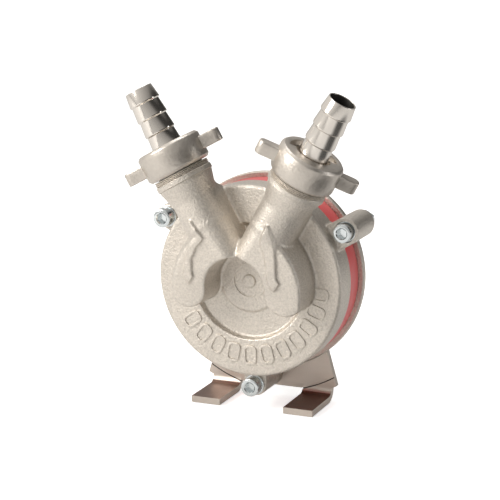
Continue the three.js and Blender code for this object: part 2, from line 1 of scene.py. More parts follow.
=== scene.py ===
# %% [markdown]
# A self-priming impeller pump on two bent sheet feet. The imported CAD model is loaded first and
# stays where it is. It is the frame that every finished piece is made to fit, so the sizes below
# are in millimetres from the pump's own shaft, and one helper turns them into Blender's metres.

# %% Load the frame
import json
import math
import bpy
from mathutils import Matrix, Vector


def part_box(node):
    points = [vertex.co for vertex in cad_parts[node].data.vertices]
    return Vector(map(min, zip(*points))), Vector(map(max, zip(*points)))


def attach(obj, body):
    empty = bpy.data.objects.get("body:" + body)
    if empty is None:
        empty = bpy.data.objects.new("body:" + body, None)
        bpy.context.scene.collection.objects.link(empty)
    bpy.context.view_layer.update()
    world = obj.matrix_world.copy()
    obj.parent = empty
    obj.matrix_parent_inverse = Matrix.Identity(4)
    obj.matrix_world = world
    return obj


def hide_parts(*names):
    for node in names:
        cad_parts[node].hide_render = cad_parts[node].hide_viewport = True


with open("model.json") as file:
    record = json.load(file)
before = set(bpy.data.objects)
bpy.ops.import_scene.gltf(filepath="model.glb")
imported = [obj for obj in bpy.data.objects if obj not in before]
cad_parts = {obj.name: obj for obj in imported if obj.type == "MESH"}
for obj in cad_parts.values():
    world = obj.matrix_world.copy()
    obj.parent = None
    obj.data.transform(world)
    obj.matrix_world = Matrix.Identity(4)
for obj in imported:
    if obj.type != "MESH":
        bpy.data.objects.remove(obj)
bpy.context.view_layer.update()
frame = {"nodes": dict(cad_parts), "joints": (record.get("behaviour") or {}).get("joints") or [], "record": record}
bpy.ops.object.select_all(action="DESELECT")

MM = 0.001
GAP = 0.3                       # between faces that touch on the real pump
WELD = 0.004 * MM               # vertices closer than this are one
FINE = 128                      # sides on the big round pieces
joints = {joint["name"]: joint for joint in frame["joints"]}
RING_FRONT = 15.8               # the chamber ring's front face, behind the cover's rim face
SHAFT_Z = joints["rotor_spin"]["pos_m"][2]
RIM_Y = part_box("chamber_ring")[0][1] - RING_FRONT * MM

# %% [markdown]
# Most pieces are turned about an axis or cut from an outline. Both start from one vertex that is
# extruded from point to point, like pulling a pen. Spinning the line gives a turned piece, and
# filling it and extruding the face gives a plate. The line could be a curve object instead, but a
# mesh line can go straight into the spin and extrude tools.

# %% Points in the pump's own frame
NEARLY_STRAIGHT = 170           # degrees; a flatter corner is left as it is
SIDE_SHARE = 0.45               # the part of each side that a rounding may use


def at(x, y, z):
    return Vector((x * MM, RIM_Y + y * MM, SHAFT_Z + z * MM))


def polar(radius, degrees):
    angle = math.radians(degrees)
    return (radius * math.cos(angle), radius * math.sin(angle))


def arc(centre, radius, start, end, steps):
    turn = (end - start) / steps
    points = [polar(radius, start + turn * i) for i in range(steps + 1)]
    return [(centre[0] + x, centre[1] + z) for x, z in points]


def oblong(x0, x1, y0, y1):
    return [(x0, y0), (x1, y0), (x1, y1), (x0, y1)]


def eased(points, radius, steps=4, closed=True):
    """The outline with its corners rounded, as far as the neighbouring sides allow."""
    out = []
    count = len(points)
    for i, corner in enumerate(points):
        if not closed and i in (0, count - 1):
            out.append(corner)
            continue
        here = Vector(corner)
        before = Vector(points[i - 1]) - here
        after = Vector(points[(i + 1) % count]) - here
        opening = before.angle(after)
        if opening > math.radians(NEARLY_STRAIGHT):
            out.append(corner)
            continue
        back = radius / math.tan(opening / 2)
        back = min(back, before.length * SIDE_SHARE, after.length * SIDE_SHARE)
        middle = (before.normalized() + after.normalized()).normalized()
        fit = back * math.tan(opening / 2)
        centre = here + middle * (fit / math.sin(opening / 2))
        first = here + before.normalized() * back - centre
        last = here + after.normalized() * back - centre
        sweep = first.angle_signed(last)
        for k in range(steps + 1):
            spoke = first.copy()
            spoke.rotate(Matrix.Rotation(-sweep * k / steps, 2))
            out.append(tuple(centre + spoke))
    return out


# %% Select one object
def object_mode():
    if bpy.context.object and bpy.context.object.mode != "OBJECT":
        bpy.ops.object.mode_set(mode="OBJECT")


def alone(piece):
    object_mode()
    bpy.ops.object.select_all(action="DESELECT")
    piece.select_set(True)
    bpy.context.view_layer.objects.active = piece


def discard(*pieces):
    for piece in pieces:
        bpy.data.objects.remove(piece, do_unlink=True)


# %% Draw a line of vertices
def draw_line(name, points, closed):
    """Leaves a new object in edit mode with its line selected. Points are in metres."""
    object_mode()
    bpy.ops.mesh.primitive_plane_add(size=MM, location=points[0])
    line = bpy.context.object
    line.name = name
    bpy.ops.object.transform_apply(location=True, rotation=True, scale=True)
    bpy.ops.object.mode_set(mode="EDIT")
    bpy.ops.mesh.select_mode(type="VERT")
    bpy.ops.mesh.select_all(action="SELECT")
    bpy.ops.mesh.merge(type="CENTER")
    path = list(points) + ([points[0]] if closed else [])
    for here, there in zip(path, path[1:]):
        step = Vector(there) - Vector(here)
        bpy.ops.mesh.extrude_region_move(TRANSFORM_OT_translate={"value": step})
    bpy.ops.mesh.select_all(action="SELECT")
    bpy.ops.mesh.remove_doubles(threshold=WELD)
    return line


def close_up():
    """Merges doubles and turns the faces outwards, then leaves edit mode."""
    bpy.ops.mesh.select_all(action="SELECT")
    bpy.ops.mesh.remove_doubles(threshold=WELD)
    bpy.ops.mesh.normals_make_consistent(inside=False)
    bpy.ops.object.mode_set(mode="OBJECT")


# %% Turned pieces
def turned(name, profile, steps=96, centre=(0, 0), ring=False):
    """profile holds (radius, y) in mm; centre is the axis, (x, z) in mm, and runs along Y."""
    points = [at(centre[0] + r, y, centre[1]) for r, y in profile]
    piece = draw_line(name, points, closed=ring)
    bpy.ops.mesh.spin(steps=steps, angle=2 * math.pi, axis=(0, 1, 0),
                      center=at(centre[0], 0, centre[1]))
    close_up()
    return piece


# %% Plates cut from an outline
def pulled_out(name, points, shift):
    """Fills a closed line and extrudes the face. Points and shift are in metres."""
    piece = draw_line(name, points, closed=True)
    bpy.ops.mesh.edge_face_add()
    bpy.ops.mesh.extrude_region_move(TRANSFORM_OT_translate={"value": shift})
    close_up()
    return piece


def plate(name, outline, y0, y1):
    """outline holds (x, z) in mm; the plate runs from y0 back to y1."""
    return pulled_out(name, [at(x, y0, z) for x, z in outline], (0, (y1 - y0) * MM, 0))


# %% Rods and boxes
def rod(name, radius, y0, y1, centre=(0, 0), steps=64):
    spot = at(centre[0], (y0 + y1) / 2, centre[1])
    object_mode()
    bpy.ops.mesh.primitive_cylinder_add(vertices=steps, radius=radius * MM, depth=(y1 - y0) * MM,
                                        location=spot, rotation=(math.pi / 2, 0, 0))
    piece = bpy.context.object
    piece.name = name
    bpy.ops.object.transform_apply(location=True, rotation=True, scale=True)
    return piece


# %% Modifiers that are applied at once
def apply_modifier(piece, kind, **settings):
    alone(piece)
    modifier = piece.modifiers.new(kind.title(), kind)
    for key, value in settings.items():
        setattr(modifier, key, value)
    bpy.ops.object.modifier_apply(modifier=modifier.name)


def combine(piece, tools, how="UNION"):
    for tool in tools:
        apply_modifier(piece, "BOOLEAN", operation=how, solver="MANIFOLD", object=tool)
        discard(tool)
    return piece


def cast_skin(piece, grain, smooth):
    """Wraps the solid in one even skin and relaxes it, as a casting's corners are rounded."""
    apply_modifier(piece, "REMESH", mode="VOXEL", voxel_size=grain * MM)
    apply_modifier(piece, "SMOOTH", factor=0.5, iterations=smooth)
    return piece


def soft_edges(piece, width, segments=2, degrees=30):
    apply_modifier(piece, "BEVEL", width=width * MM, segments=segments, limit_method="ANGLE",
                   angle_limit=math.radians(degrees), harden_normals=False)
    return piece


# %% Copies, moves and the table
def moved(piece, matrix):
    piece.matrix_world = matrix @ piece.matrix_world
    alone(piece)
    bpy.ops.object.transform_apply(location=True, rotation=True, scale=True)
    return piece


def copy_of(piece, name):
    alone(piece)
    bpy.ops.object.duplicate(linked=False)
    twin = bpy.context.object
    twin.name = name
    return twin


finish_of = {}


def finished(piece, node_names, body, finish_slot, degrees=32):
    alone(piece)
    bpy.ops.object.mode_set(mode="EDIT")
    bpy.ops.mesh.select_all(action="SELECT")
    bpy.ops.mesh.normals_make_consistent(inside=False)
    bpy.ops.object.mode_set(mode="OBJECT")
    bpy.ops.object.shade_smooth_by_angle(angle=math.radians(degrees))
    piece.name = f"finished_{node_names[0]}"
    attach(piece, body)
    finish_of[piece.name] = finish_slot
    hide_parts(*node_names)
    triangles = sum(len(face.vertices) - 2 for face in piece.data.polygons)
    print(piece.name, "triangles", triangles)
    return piece


# %% [markdown]
# The two hose ports lean outwards, like the arms of a V. A port's own frame has its origin where
# the nut's joint says, its Y axis along the port and its Z axis to the front, so everything on a
# port is drawn upright about the shaft's axis first and carried over by one matrix.

# %% The port frames
UPRIGHT = Matrix.Translation(at(0, 0, 0))
SIDES = ("left", "right")


def port_frame(side):
    joint = joints[f"{side}_nut_turn"]
    along = Vector(joint["axis"]).normalized()
    outwards = Vector((0, 1, 0)).cross(along).normalized()
    front = outwards.cross(along)
    basis = Matrix((outwards, along, front)).transposed().to_4x4()
    return Matrix.Translation(Vector(joint["pos_m"])) @ basis


def on_port(piece, side):
    return moved(piece, port_frame(side) @ UPRIGHT.inverted())


def about_shaft(piece, degrees, axis="Y"):
    """Turns a piece about an axis through the shaft's axis at the rim face."""
    turn = Matrix.Rotation(math.radians(degrees), 4, axis)
    return moved(piece, UPRIGHT @ turn @ UPRIGHT.inverted())


PORT = {name: port_frame(name).translation for name in SIDES}
print("port bases", PORT)

# %% [markdown]
# The cover is one casting. Its bulges, necks and webs have generous fillets where they run into
# each other, but the drum's rim is tighter. Modelling every fillet by hand is slow and easily
# leaves gaps. So the rough solids are joined, wrapped in a coarse skin and relaxed a lot; then
# the drum is added, and a finer skin is relaxed only a little. Machined faces are cut afterwards,
# which keeps them flat and sharp, as on the real part.

# %% Sizes of the cover
COVER_R = 51.4
COVER_REAR = 15.5
SPARE = 2.5                     # left on behind the cover, for the rear cut to take off
RING_REAR = 29.0
CHAMBER_R = 44.0
CHAMBER_FRONT = 8
PANEL = {"top": 31.5, "floor": 30.0, "depth": 2.6, "disc_r": 16.4, "disc_y": 1.6}
BULGE_IN = 16.6
BULGE_OUT = 37.6
BULGE_END = -4                  # degrees round the shaft
FACE_LOW = (-18.6, -4.0)        # y and z of the slanted face at the bulge's end
FACE_HIGH = (-21.6, 28.0)
BAND = {"front": -26, "rear": 6}        # the rough band, before the slanted face is cut
SKINS = {"bulges": (0.8, 5), "cover": (0.6, 3)}     # voxel size and rounds of relaxing
RIM_EDGE = {"flat": 1.4, "middle": 0.4}             # the drum's front edge is rounded in two flats
NECK_R = 12.2
NECK_FOOT = -31.3               # along the port's axis
COLLAR = {"low": -13.0, "shoulder": -6.6, "top": -3.1, "r": 15.6}
LEAN = math.radians(29)
PORT_X = PORT["right"].x / MM
PORT_Z = (PORT["right"].z - SHAFT_Z) / MM


def beside_port(t, d):
    """A point t along the right-hand port's axis and d outwards from it, as (x, z)."""
    x = PORT_X + math.sin(LEAN) * t + math.cos(LEAN) * d
    return (x, PORT_Z + math.cos(LEAN) * t - math.sin(LEAN) * d)


# %% One flow bulge
AXIS_ANGLE = 90 - math.degrees(LEAN)
PIPE_FOOT = -56.0               # along the port's axis, where the pipe has reached the hole
PIPE_OVER = 1                   # the pipe runs on past the neck's foot, so that the two join
HALF_OVER = 0.2                 # and past the port's axis, to overlap the band
CREST_IN = 1.6                  # the band's front corner stands in from its outer wall
CORNER = {"y": -21.5, "slope": 1.4}
DRAFT_FOOT = {"out": 0.3, "y": 6.5}


def outer_side(from_angle, up_to, outer_r, neck_r):
    """From the hole's rim round the bulge's open end and up the outer side of the neck."""
    middle = (BULGE_IN + outer_r) / 2
    half = (outer_r - BULGE_IN) / 2
    shoulder = beside_port(NECK_FOOT, neck_r)
    end_angle = math.degrees(math.atan2(shoulder[1], shoulder[0]))
    points = arc((0, 0), BULGE_IN, from_angle, BULGE_END, 20)
    points += arc(polar(middle, BULGE_END), half, BULGE_END + 180, BULGE_END + 360, 16)[1:]
    points += arc((0, 0), outer_r, BULGE_END, end_angle, 14)[1:]
    return points + [beside_port(up_to, neck_r)]


def sliced(piece, point, normal):
    """Takes away the part on the normal's side of a plane through the point."""
    alone(piece)
    bpy.ops.object.mode_set(mode="EDIT")
    bpy.ops.mesh.select_all(action="SELECT")
    bpy.ops.mesh.bisect(plane_co=point, plane_no=normal, use_fill=True, clear_outer=True)
    close_up()
    return piece


def mirrored(piece):
    moved(piece, Matrix.Diagonal((-1, 1, 1, 1)))
    bpy.ops.object.mode_set(mode="EDIT")
    close_up()
    return piece


def bulge(soft):
    outline = outer_side(AXIS_ANGLE, NECK_FOOT, BULGE_OUT, NECK_R) + [beside_port(NECK_FOOT, 0)]
    band = plate("bulge", outline, BAND["front"], BAND["rear"])
    crest = BULGE_OUT - CREST_IN - soft
    limit = turned("draft", [(0, BAND["front"] - 1), (crest, BAND["front"] - 1), (crest, CORNER["y"]),
                             (crest + soft, CORNER["y"] + CORNER["slope"] * soft),
                             (BULGE_OUT + DRAFT_FOOT["out"], DRAFT_FOOT["y"]), (0, DRAFT_FOOT["y"])])
    combine(band, [limit], "INTERSECT")
    pipe_top = NECK_FOOT + PIPE_OVER
    section = [(0, PIPE_FOOT), (NECK_R, PIPE_FOOT), (NECK_R, pipe_top), (0, pipe_top)]
    pipe = on_port(turned("pipe", section), "right")
    outwards = Vector((math.cos(LEAN), 0, -math.sin(LEAN)))
    sliced(pipe, PORT["right"] + outwards * HALF_OVER * MM, outwards)
    slope = Vector((0, FACE_HIGH[0] - FACE_LOW[0], FACE_HIGH[1] - FACE_LOW[1])).normalized()
    return sliced(combine(band, [pipe]), at(0, *FACE_LOW), Vector((1, 0, 0)).cross(slope))


# %% One neck with the web behind it
WEB = {"top": -10, "front": -11, "rear": 6, "in": 0.4, "outer_in": 1}
WEB_SLOPE = {"y": -9, "back": 0.6}      # the web's top slopes back from the neck's middle
NECK_TOE = {"long": 6, "in": 2.5}       # the cone below the neck, sunk in the band
NECK_LIP = {"out": 0.4, "half": 0.6, "end": 2}
NECK_SWELL = 0.1                # makes up for what the relaxing takes away
FLARE_LOW = COLLAR["low"] - 3


def neck(side):
    lip_r, pipe_r, head_r = NECK_R + NECK_LIP["out"], NECK_R + NECK_SWELL, COLLAR["r"] - 0.6
    profile = [(0, NECK_FOOT - NECK_TOE["long"]), (NECK_R - NECK_TOE["in"], NECK_FOOT - NECK_TOE["long"]),
               (lip_r, NECK_FOOT - NECK_LIP["half"]), (lip_r, NECK_FOOT + NECK_LIP["half"]),
               (pipe_r, NECK_FOOT + NECK_LIP["end"]), (pipe_r, FLARE_LOW), (head_r, COLLAR["shoulder"]),
               (head_r, COLLAR["top"] - 0.5), (0, COLLAR["top"] - 0.5)]
    pipe = on_port(turned("neck", profile), side)
    neck_r = NECK_R - WEB["in"]
    crotch_t = -PORT_X / math.sin(LEAN) + neck_r / math.tan(LEAN)
    outline = outer_side(90, WEB["top"], BULGE_OUT - WEB["outer_in"], neck_r)
    outline += [beside_port(WEB["top"], -neck_r), (0, beside_port(crotch_t, -neck_r)[1])]
    x, z = beside_port(WEB["top"], 0)
    upwards = Vector((math.sin(LEAN), WEB_SLOPE["back"], math.cos(LEAN)))
    web = sliced(plate("web", outline, WEB["front"], WEB["rear"]), at(x, WEB_SLOPE["y"], z), upwards)
    return combine(pipe, [mirrored(web) if side == "left" else web])


# %% Bulges and necks, joined and relaxed
SOFT_CORNER = {"left": 3.4, "right": 1.8}
flow = None
for side_name in SIDES:
    half = bulge(SOFT_CORNER[side_name])
    if side_name == "left":
        mirrored(half)
    combine(half, [neck(side_name)])
    flow = half if flow is None else combine(flow, [half])
combine(flow, [rod("hollow", BULGE_IN - 0.1, -32, 7)], "DIFFERENCE")
cast_skin(flow, *SKINS["bulges"])
print("flow bulges", len(flow.data.polygons), "faces")

# %% [markdown]
# Three clamp bosses stand beside the drum. The upper right one is bigger and has a shallow
# counterbore for its screw head. The other two end at the seat, so the whole head shows.

# %% Clamp bosses
CLAMP_CIRCLE = 58.6
M6_HOLE, M5_HOLE = 3.3, 2.8     # hole radii for the two screw sizes
HEAD_ROOM = 5.7
ROOT_CIRCLE = 47.5              # the webs of the bosses and lugs start here, inside the drum
SEAT_Y = 9.5
BOSS_WEB_FRONT = 5.0
# angle round the shaft, boss radius, and y of the boss's front
CLAMPS = {"upper_right": (30, 7.3, 6.6), "upper_left": (150, 6.4, SEAT_Y), "lower": (270, 6.4, SEAT_Y)}


def web_corners(angle, half):
    """A strip as wide as the boss, from the clamp circle in to the root circle and back."""
    across = polar(half, angle + 90)
    return [(x + way * across[0], z + way * across[1])
            for way, (x, z) in ((1, polar(CLAMP_CIRCLE, angle)), (1, polar(ROOT_CIRCLE, angle)),
                                (-1, polar(ROOT_CIRCLE, angle)), (-1, polar(CLAMP_CIRCLE, angle)))]


def clamp_boss(angle, radius, front):
    boss = rod("boss", radius, front, RING_REAR + 3, polar(CLAMP_CIRCLE, angle))
    web_front = max(front, BOSS_WEB_FRONT)
    return combine(boss, [plate("web", web_corners(angle, radius), web_front, COVER_REAR + 1)])


# %% [markdown]
# The raised arrows follow the skin of the bulges. Each is cut as a thick plate right through and
# kept only where it meets a copy of the bulges that has been swollen by the arrow's height. They
# go on before the last skin, so that their edges are as round as the rest of the casting.

# %% Raised arrows on the bulges
ARROW_HIGH = 1.5
STAMP = (-30, -12)              # the stamp's reach, right through the bulges' front wall
ARROWS = {
    "right": [(20.0, 37.5), (23.2, 27.3), (23.9, 17.1), (23.9, 7.9), (25.5, 5.7), (22.3, 0.7),
              (19.5, 4.6), (18.6, 8.8), (18.4, 16.6), (15.6, 26.7)],
    "left": [(-24.0, 37.1), (-15.6, 26.2), (-20.2, 20.4), (-22.9, 14.6), (-23.0, 6.8), (-22.3, 5.4),
             (-25.2, 0.4), (-27.8, 5.2), (-27.2, 9.8), (-26.2, 14.9), (-24.6, 20.4), (-22.6, 25.4)],
}


def raised_mark(name, outline):
    skin = copy_of(flow, name)
    apply_modifier(skin, "DISPLACE", strength=ARROW_HIGH * MM, mid_level=0)
    return combine(skin, [plate("stamp", eased(outline, 0.8), *STAMP)], "INTERSECT")


combine(flow, [raised_mark(f"{name} arrow", outline) for name, outline in ARROWS.items()])
print("bulges with arrows", len(flow.data.polygons), "faces")

# %% Drum, joined to the bulges and skinned
section = [(0, PANEL["disc_y"]), (PANEL["disc_r"], PANEL["disc_y"]), (PANEL["disc_r"], PANEL["depth"]),
           (PANEL["floor"], PANEL["depth"]), (PANEL["top"], 0), (COVER_R - RIM_EDGE["flat"], 0),
           (COVER_R - RIM_EDGE["middle"], RIM_EDGE["middle"]), (COVER_R, RIM_EDGE["flat"]),
           (COVER_R, COVER_REAR + SPARE), (0, COVER_REAR + SPARE)]
drum = turned("cover", section, steps=FINE)
cover = combine(drum, [flow] + [clamp_boss(*clamp) for clamp in CLAMPS.values()])
cast_skin(cover, *SKINS["cover"])
print("cover skin", len(cover.data.polygons), "faces")

# %% [markdown]
# The lower half of the rim face carries a row of cast marks. Here they are plain raised frames,
# one drawn once and copied round the shaft, and the sunk disc has a plain raised ring and dot.

# %% Cast marks on the rim face
MARK = {"wide": 7.4, "tall": 10.6, "line": 1.25, "middle_r": 39.8, "high": 0.55, "round": 0.72,
        "edge": 0.22}
MARK_ANGLES = [-144 + 13.9 * i for i in range(11)]


def rounded_box(wide, tall, middle_z):
    w, t = wide / 2, tall / 2
    return eased(oblong(-w, w, middle_z - t, middle_z + t), min(w, t) * MARK["round"], steps=5)


mark = plate("mark", rounded_box(MARK["wide"], MARK["tall"], -MARK["middle_r"]), -MARK["high"], 0.8)
inner = rounded_box(MARK["wide"] - 2 * MARK["line"], MARK["tall"] - 2 * MARK["line"], -MARK["middle_r"])
combine(mark, [plate("mark hole", inner, -2, 2)], "DIFFERENCE")
soft_edges(mark, MARK["edge"])
marks = []
for degrees in MARK_ANGLES:
    marks.append(about_shaft(copy_of(mark, "mark copy"), -(degrees + 90)))
discard(mark)
BADGE = {"inner": 8.4, "outer": 9.6, "front": 1.1, "rear": 3}
DOT = {"r": 3.6, "edge": 0.4, "front": 0.8}
badge = turned("badge", oblong(*BADGE.values()), ring=True)
dot = turned("badge dot", [(0, DOT["front"]), (DOT["r"] - DOT["edge"], DOT["front"]),
                           (DOT["r"], DOT["front"] + DOT["edge"]), (DOT["r"], BADGE["rear"]),
                           (0, BADGE["rear"])])
combine(cover, marks + [badge, dot])
print("marks", len(marks))

# %% [markdown]
# Now the machined cuts: the chamber, the seat for the ring, the flow channels, port bores, screw
# holes and the counterbore. Collar and threaded spigot are turned and added with sharp edges.

# %% Spigots with pipe thread
SPIGOT_R = 13.2
SPIGOT_TOP = 7.2
THREAD = {"pitch": 1.81, "deep": 0.75, "crest": 0.25, "first": 0.2, "last": SPIGOT_TOP - 0.4}
COLLAR_EDGE = {"low": -5.8, "high": -3.6, "in": 0.5}
TURNS = {"count": 3, "step": 0.85, "start": 0.25, "rise": 0.2, "out": 0.3, "in": 0.9, "end": -0.4}


def spigot(side):
    """Collar, the three wide turns that show under the nut, and the thread inside the nut."""
    root_r, edge_r, low_r = SPIGOT_R - THREAD["deep"], COLLAR["r"] - TURNS["out"], COLLAR["r"] - TURNS["in"]
    side_r = COLLAR["r"] - COLLAR_EDGE["in"]
    section = [(0, COLLAR["shoulder"] + 0.4), (side_r, COLLAR["shoulder"] + 0.4),
               (COLLAR["r"], COLLAR_EDGE["low"]), (COLLAR["r"], COLLAR_EDGE["high"]),
               (side_r, COLLAR["top"]), (low_r, COLLAR["top"])]
    for i in range(TURNS["count"]):
        foot_y = COLLAR["top"] + TURNS["start"] + TURNS["step"] * i
        section += [(edge_r, foot_y + TURNS["rise"]), (edge_r, foot_y + 2 * TURNS["rise"]),
                    (low_r, foot_y + 3 * TURNS["rise"])]
    section.append((root_r, TURNS["end"]))
    ridge = THREAD["first"]
    while ridge + THREAD["pitch"] < THREAD["last"]:
        crest = ridge + THREAD["deep"]
        section += [(root_r, ridge), (SPIGOT_R, crest), (SPIGOT_R, crest + THREAD["crest"])]
        ridge += THREAD["pitch"]
    section += [(root_r, ridge), (SPIGOT_R - 1, SPIGOT_TOP), (0, SPIGOT_TOP)]
    return on_port(turned("spigot", section), side)


combine(cover, [spigot(name) for name in SIDES])

# %% Chamber, ring seat and rear faces
REAR_CUT_R = 62.0               # reaches past the clamp bosses' centres
SEAT_R = 51.3
NOSE_POCKET = {"r": 12, "front": 5.5}   # room for the shaft's front end
rear_cut = rod("rear cut", REAR_CUT_R, COVER_REAR, RING_REAR + 6, steps=FINE)
combine(rear_cut, [rod("boss room", radius + 0.4, COVER_REAR - 1, RING_REAR, polar(CLAMP_CIRCLE, angle))
                   for angle, radius, _ in CLAMPS.values()], "DIFFERENCE")
combine(cover, [rear_cut, rod("ring seat", SEAT_R, COVER_REAR, RING_REAR + 8, steps=FINE),
                rod("chamber", CHAMBER_R, CHAMBER_FRONT, RING_REAR, steps=FINE),
                rod("nose pocket", NOSE_POCKET["r"], NOSE_POCKET["front"], CHAMBER_FRONT + 1)], "DIFFERENCE")


# %% Flow channels, port bores and screw holes
CHANNEL = {"inner": BULGE_IN + 3.8, "outer": BULGE_OUT - 5.9, "end": 60, "front": -15.5}
BORE_R = 8
BORE_FOOT = -40                 # along the port's axis, where the bore has met the channel


def channel_outline():
    inner_r, outer_r, end = CHANNEL["inner"], CHANNEL["outer"], CHANNEL["end"]
    middle, half = (inner_r + outer_r) / 2, (outer_r - inner_r) / 2
    points = arc((0, 0), outer_r, BULGE_END, end, 14)
    points += arc(polar(middle, end), half, end, end + 180, 10)[1:]
    points += arc((0, 0), inner_r, end, BULGE_END, 12)[1:]
    points += arc(polar(middle, BULGE_END), half, BULGE_END + 180, BULGE_END + 360, 10)[1:-1]
    return points


channel = plate("channel", channel_outline(), CHANNEL["front"], CHAMBER_FRONT + 1)
other = mirrored(copy_of(channel, "other channel"))
bores = [on_port(rod("port bore", BORE_R, BORE_FOOT, SPIGOT_TOP + 2), name) for name in SIDES]
holes = []
for angle, _, _ in CLAMPS.values():
    holes.append(rod("screw hole", M6_HOLE, -2, RING_REAR + 4, polar(CLAMP_CIRCLE, angle), 40))
    holes.append(rod("head room", HEAD_ROOM, -8, SEAT_Y, polar(CLAMP_CIRCLE, angle), 48))
combine(cover, [channel, other] + bores + holes, "DIFFERENCE")

# %% Fewer faces on the flats, then the table
apply_modifier(cover, "DECIMATE", ratio=0.5)
finished(cover, ["front_cover"], "pump_body", "casting", degrees=40)

# %% [markdown]
# The red chamber ring sits between cover and backplate. Its section is drawn once with rounded
# corners and spun, so a dark line shows at each joint. A groove in each face holds an O-ring.

# %% Chamber ring
RING_R = 51.0
RING_EDGE = 0.8
GROOVE = {"inner": 46.2, "outer": 48.8, "deep": 1.9}
ring_section = eased(oblong(CHAMBER_R, RING_R, RING_FRONT, RING_REAR), RING_EDGE, steps=3)
ring = turned("chamber ring", ring_section, steps=160, ring=True)
grooves = []
for y0, y1 in ((RING_FRONT - 1, RING_FRONT + GROOVE["deep"]), (RING_REAR - GROOVE["deep"], RING_REAR + 1)):
    section = oblong(GROOVE["inner"], GROOVE["outer"], y0, y1)
    grooves.append(turned("groove", section, steps=160, ring=True))
combine(ring, grooves, "DIFFERENCE")
finished(ring, ["chamber_ring"], "pump_body", "red_ring")

# %% [markdown]
# Backplate and bearing housing are one casting with turned faces. Disc and housing are one turned
# profile. Three lugs are cut from an outline, beveled and joined to the disc. The bores come last,
# because that keeps their edges sharp, as a drill leaves them.

# %% Backplate and housing
PLATE_FRONT, PLATE_REAR = RING_REAR + GAP, 33.3
PLATE_R, HOUSING_R, HOUSING_REAR = 53.7, 20.8, 70.0
PLATE_EDGE, FILLET = 0.6, 0.8
HOUSING_EDGE = {"flat": 1.6, "middle": 0.5}
disc = [(0, PLATE_FRONT), (PLATE_R - PLATE_EDGE, PLATE_FRONT), (PLATE_R, PLATE_FRONT + PLATE_EDGE),
        (PLATE_R, PLATE_REAR - PLATE_EDGE), (PLATE_R - PLATE_EDGE, PLATE_REAR)]
fillet = arc((HOUSING_R + FILLET, PLATE_REAR + FILLET), FILLET, 270, 180, 5)
nose = [(HOUSING_R, HOUSING_REAR - HOUSING_EDGE["flat"]),
        (HOUSING_R - HOUSING_EDGE["middle"], HOUSING_REAR - HOUSING_EDGE["middle"]),
        (HOUSING_R - HOUSING_EDGE["flat"], HOUSING_REAR), (0, HOUSING_REAR)]
backplate = turned("backplate", disc + fillet + nose, steps=FINE)
lugs = []
for angle, radius, _ in CLAMPS.values():
    end = arc(polar(CLAMP_CIRCLE, angle), radius, angle - 90, angle + 90, 18)
    outline = web_corners(angle, radius)[1:3] + end
    lugs.append(soft_edges(plate("lug", outline, PLATE_FRONT, PLATE_REAR), PLATE_EDGE))
combine(backplate, lugs)
BRACKET_SCREWS = {"right": 30, "left": 150}
BRACKET_CIRCLE = 29.0
# radius, where the bore starts and ends, and its sides
HOUSING_BORES = {"seal seat": (12.3, PLATE_FRONT - 1, 36.3, 64), "shaft hole": (7, PLATE_FRONT - 1, 45, 64),
                 "bearing seat": (16.3, 40, HOUSING_REAR + 1, 96), "clip groove": (17.8, 66.2, 67.8, 96)}
bores = [rod(name, r, y0, y1, steps=steps) for name, (r, y0, y1, steps) in HOUSING_BORES.items()]
bores += [rod("clamp hole", M6_HOLE, PLATE_FRONT - 1, PLATE_REAR + 1, polar(CLAMP_CIRCLE, clamp[0]), 40)
          for clamp in CLAMPS.values()]
bores += [rod("bracket hole", M5_HOLE, PLATE_FRONT + 1, PLATE_REAR + 1, polar(BRACKET_CIRCLE, angle), 40)
          for angle in BRACKET_SCREWS.values()]
combine(backplate, bores, "DIFFERENCE")
finished(backplate, ["backplate"], "pump_body", "casting")

# %% [markdown]
# The bracket is one piece of sheet. Below the drum it splits into two legs whose ends are bent
# forward as feet. The flat sheet is cut from its outline, and each foot is a strip whose section
# holds the bend as two arcs. A thin scribed line runs round the sheet in front.

# %% Sheet bracket
BRACKET_FRONT, BRACKET_REAR = PLATE_REAR + GAP, 37.1
SHEET = BRACKET_REAR - BRACKET_FRONT
FOOT = {"bottom": -71.1, "inner": 18.3, "outer": 34.9, "front": 4.0, "bend": 4.0}
BEND_R = FOOT["bend"] + SHEET
BEND_TOP = FOOT["bottom"] + BEND_R
SHEET_LOW, CORNER_X, NECK_X, NECK_Z = -65.4, 37.6, 27.0, -25.0


def half_sheet(sign):
    return [(sign * FOOT["inner"], SHEET_LOW), (sign * FOOT["inner"], BEND_TOP),
            (sign * FOOT["outer"], BEND_TOP), (sign * CORNER_X, SHEET_LOW + 3), (sign * NECK_X, NECK_Z)]


crown_r = math.hypot(NECK_X, NECK_Z)
crown_from = math.degrees(math.atan2(NECK_Z, NECK_X))
right_half, left_half = half_sheet(1), half_sheet(-1)
outline = right_half + arc((0, 0), crown_r, crown_from, 180 - crown_from, 48)[1:-1] + left_half[::-1]
bracket = plate("bracket", outline, BRACKET_FRONT, BRACKET_REAR)


# %% One foot
def foot(sign):
    centre = (BRACKET_REAR - BEND_R, BEND_TOP)
    section = [(FOOT["front"], FOOT["bottom"])] + arc(centre, BEND_R, -90, 0, 12)
    section += [(BRACKET_REAR, BEND_TOP + 1), (BRACKET_FRONT, BEND_TOP + 1)]
    section += arc(centre, FOOT["bend"], 0, -90, 10) + [(FOOT["front"], FOOT["bottom"] + SHEET)]
    inner_x, outer_x = sorted((sign * FOOT["inner"], sign * FOOT["outer"]))
    return pulled_out("foot", [at(inner_x, y, z) for y, z in section], ((outer_x - inner_x) * MM, 0, 0))


